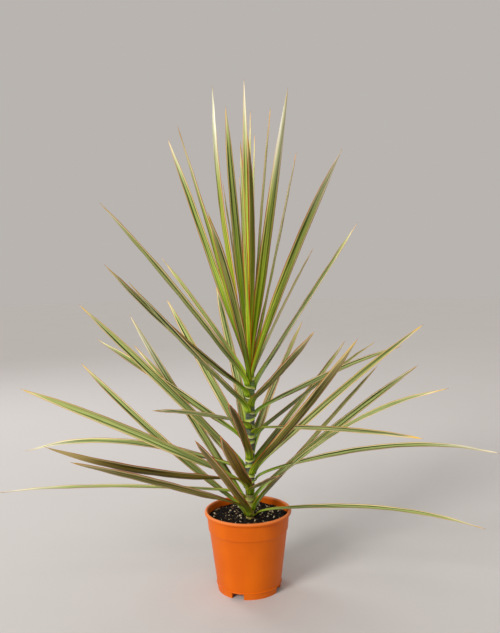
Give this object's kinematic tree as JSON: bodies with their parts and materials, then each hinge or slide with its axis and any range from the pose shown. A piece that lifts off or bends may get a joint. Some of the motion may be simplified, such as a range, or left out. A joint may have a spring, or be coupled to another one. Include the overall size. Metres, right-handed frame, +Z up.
{
  "type": "potted dracaena marginata",
  "caption": "House plant with long narrow red-edged leaves spiralling up a ringed cane into an upright crown, in a tapered plastic nursery pot.",
  "frame": {"origin": "on the pot's own axis at the height its foot rests on, which is within a few millimetres of the bottom centre of the whole plant's box", "axes": "+Z up along the pot's axis; -Y towards the side the picture shows; +X to the picture's right"},
  "size_m": [0.6918, 0.6311, 0.6908],
  "materials": {
    "pot": "satin moulded orange plastic",
    "soil": null,
    "cane": "green-grey living bark with pale leaf scars",
    "leaf": "leathery green blade with reddish margins and a soft sheen"
  },
  "bodies": {
    "root": {"pot": "pot", "soil": "soil", "cane": "cane", "leaf_01": "leaf", "leaf_02": "leaf", "leaf_03": "leaf", "leaf_04": "leaf", "leaf_05": "leaf", "leaf_06": "leaf", "leaf_07": "leaf", "leaf_08": "leaf", "leaf_09": "leaf", "leaf_10": "leaf", "leaf_11": "leaf", "leaf_12": "leaf", "leaf_13": "leaf", "leaf_14": "leaf", "leaf_15": "leaf", "leaf_16": "leaf", "leaf_17": "leaf", "leaf_18": "leaf", "leaf_19": "leaf", "leaf_20": "leaf", "leaf_21": "leaf", "leaf_22": "leaf", "leaf_23": "leaf", "leaf_24": "leaf", "leaf_25": "leaf", "leaf_26": "leaf", "leaf_27": "leaf", "leaf_28": "leaf", "leaf_29": "leaf", "leaf_30": "leaf", "leaf_31": "leaf", "leaf_32": "leaf", "leaf_33": "leaf", "leaf_34": "leaf", "leaf_35": "leaf", "leaf_36": "leaf", "leaf_37": "leaf", "leaf_38": "leaf", "leaf_39": "leaf", "leaf_40": "leaf", "leaf_41": "leaf", "leaf_42": "leaf", "leaf_43": "leaf", "leaf_44": "leaf", "leaf_45": "leaf", "leaf_46": "leaf", "leaf_47": "leaf", "leaf_48": "leaf", "leaf_49": "leaf", "leaf_50": "leaf", "leaf_51": "leaf", "leaf_52": "leaf", "leaf_53": "leaf", "leaf_54": "leaf"}
  },
  "joints": []
}
